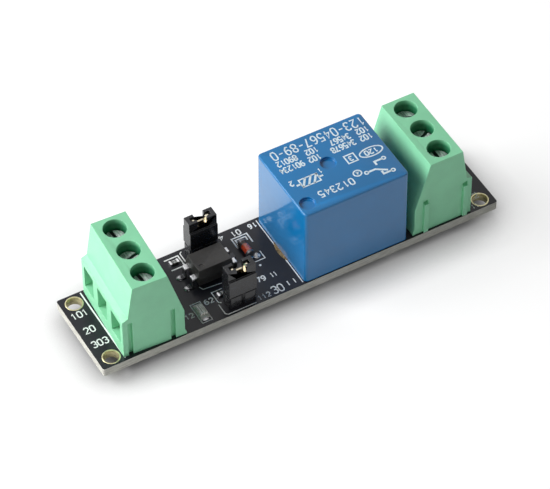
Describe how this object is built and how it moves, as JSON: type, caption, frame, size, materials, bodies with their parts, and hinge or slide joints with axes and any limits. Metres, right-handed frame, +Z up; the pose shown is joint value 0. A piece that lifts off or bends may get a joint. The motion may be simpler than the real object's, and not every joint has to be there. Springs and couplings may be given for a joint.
{
  "type": "relay module board",
  "caption": "Narrow circuit board that carries a cube relay, jumpers and a screw terminal block at each end.",
  "frame": {"origin": "under the middle of the board, on the surface that the trimmed leads stand on", "axes": "+X along the board from the input block to the output block, +Y across it, +Z up"},
  "size_m": [0.0724, 0.0164, 0.0189],
  "materials": {
    "black_board": "satin solder mask over glass laminate",
    "solder": "bright solder",
    "green_plastic": "satin moulded plastic",
    "screw_steel": "bright zinc plate",
    "clamp_steel": "zinc plate",
    "tinned_strip": "tinned strip",
    "blue_plastic": "gloss moulded plastic",
    "dark_blue_plastic": "moulded plastic",
    "cream_plastic": "moulded plastic",
    "copper_wire": "enamelled copper wire",
    "soft_iron": "plated soft iron",
    "contact_alloy": "bright copper alloy",
    "chip_plastic": "moulded epoxy",
    "tinned_lead": "tin plate",
    "red_glass": "tinted glass",
    "black_plastic": "moulded plastic",
    "gold_pin": "gold flash",
    "white_laminate": "white laminate",
    "clear_lens": "clear resin"
  },
  "bodies": {
    "board": {"circuit_board": "black_board", "terminal_solder_joints": "solder", "relay_solder_joints": "solder", "header_solder_joints": "solder", "input_terminal_housing": "green_plastic", "output_terminal_housing": "green_plastic", "input_contact_1": "tinned_strip", "input_contact_2": "tinned_strip", "input_contact_3": "tinned_strip", "output_contact_1": "tinned_strip", "output_contact_2": "tinned_strip", "output_contact_3": "tinned_strip", "relay_cover": "blue_plastic", "relay_base": "dark_blue_plastic", "relay_bobbin": "cream_plastic", "relay_winding": "copper_wire", "relay_core": "soft_iron", "relay_yoke": "soft_iron", "relay_common_pin": "tinned_strip", "relay_open_contact": "contact_alloy", "relay_closed_contact": "contact_alloy", "relay_coil_pin_1": "tinned_strip", "relay_coil_pin_2": "tinned_strip", "optocoupler_body": "chip_plastic", "optocoupler_leads": "tinned_lead", "diode_glass": "red_glass", "diode_caps": "tinned_lead", "back_header_base": "black_plastic", "back_header_pins": "gold_pin", "back_jumper_cap": "black_plastic", "back_jumper_contact": "gold_pin", "front_header_base": "black_plastic", "front_header_pins": "gold_pin", "front_jumper_cap": "black_plastic", "front_jumper_contact": "gold_pin", "led_body": "white_laminate", "led_lens": "clear_lens", "resistor_bodies": "chip_plastic", "resistor_ends": "tinned_lead", "transistor_body": "chip_plastic", "transistor_leads": "tinned_lead"},
    "input_screw_1": {"input_screw_1": "screw_steel"},
    "input_clamp_1": {"input_clamp_1": "clamp_steel"},
    "input_screw_2": {"input_screw_2": "screw_steel"},
    "input_clamp_2": {"input_clamp_2": "clamp_steel"},
    "input_screw_3": {"input_screw_3": "screw_steel"},
    "input_clamp_3": {"input_clamp_3": "clamp_steel"},
    "output_screw_1": {"output_screw_1": "screw_steel"},
    "output_clamp_1": {"output_clamp_1": "clamp_steel"},
    "output_screw_2": {"output_screw_2": "screw_steel"},
    "output_clamp_2": {"output_clamp_2": "clamp_steel"},
    "output_screw_3": {"output_screw_3": "screw_steel"},
    "output_clamp_3": {"output_clamp_3": "clamp_steel"},
    "armature": {"relay_armature": "soft_iron", "relay_contact_spring": "contact_alloy"}
  },
  "joints": [
    {"name": "input_screw_1_turn", "type": "hinge", "parent": "board", "child": "input_screw_1", "pos_m": [-0.0271, -0.00512, 0.01485], "axis": [0, 0, -1], "range_deg": [0, 1980]},
    {"name": "input_clamp_1_rise", "type": "slide", "parent": "board", "child": "input_clamp_1", "axis": [0, 0, 1], "range_m": [0, 0.00275]},
    {"name": "input_screw_2_turn", "type": "hinge", "parent": "board", "child": "input_screw_2", "pos_m": [-0.02685, -0.00005, 0.01485], "axis": [0, 0, -1], "range_deg": [0, 1980]},
    {"name": "input_clamp_2_rise", "type": "slide", "parent": "board", "child": "input_clamp_2", "axis": [0, 0, 1], "range_m": [0, 0.00275]},
    {"name": "input_screw_3_turn", "type": "hinge", "parent": "board", "child": "input_screw_3", "pos_m": [-0.0266, 0.00502, 0.01485], "axis": [0, 0, -1], "range_deg": [0, 1980]},
    {"name": "input_clamp_3_rise", "type": "slide", "parent": "board", "child": "input_clamp_3", "axis": [0, 0, 1], "range_m": [0, 0.00275]},
    {"name": "output_screw_1_turn", "type": "hinge", "parent": "board", "child": "output_screw_1", "pos_m": [0.0262, 0.00493, 0.01485], "axis": [0, 0, -1], "range_deg": [0, 1980]},
    {"name": "output_clamp_1_rise", "type": "slide", "parent": "board", "child": "output_clamp_1", "axis": [0, 0, 1], "range_m": [0, 0.00275]},
    {"name": "output_screw_2_turn", "type": "hinge", "parent": "board", "child": "output_screw_2", "pos_m": [0.0262, -0.00015, 0.01485], "axis": [0, 0, -1], "range_deg": [0, 1980]},
    {"name": "output_clamp_2_rise", "type": "slide", "parent": "board", "child": "output_clamp_2", "axis": [0, 0, 1], "range_m": [0, 0.00275]},
    {"name": "output_screw_3_turn", "type": "hinge", "parent": "board", "child": "output_screw_3", "pos_m": [0.0262, -0.00523, 0.01485], "axis": [0, 0, -1], "range_deg": [0, 1980]},
    {"name": "output_clamp_3_rise", "type": "slide", "parent": "board", "child": "output_clamp_3", "axis": [0, 0, 1], "range_m": [0, 0.00275]},
    {"name": "relay_armature_swing", "type": "hinge", "parent": "board", "child": "armature", "pos_m": [0.00325, -0.00018, 0.01433], "axis": [0, 1, 0], "range_deg": [0, 3.5], "stiffness_Nm_per_rad": 0.004, "springref_deg": -11.46}
  ],
  "couplings": [
    {"joint": "input_screw_1_turn", "follows": "input_clamp_1_rise", "rad_per_m": 12566},
    {"joint": "input_screw_2_turn", "follows": "input_clamp_2_rise", "rad_per_m": 12566},
    {"joint": "input_screw_3_turn", "follows": "input_clamp_3_rise", "rad_per_m": 12566},
    {"joint": "output_screw_1_turn", "follows": "output_clamp_1_rise", "rad_per_m": 12566},
    {"joint": "output_screw_2_turn", "follows": "output_clamp_2_rise", "rad_per_m": 12566},
    {"joint": "output_screw_3_turn", "follows": "output_clamp_3_rise", "rad_per_m": 12566}
  ]
}
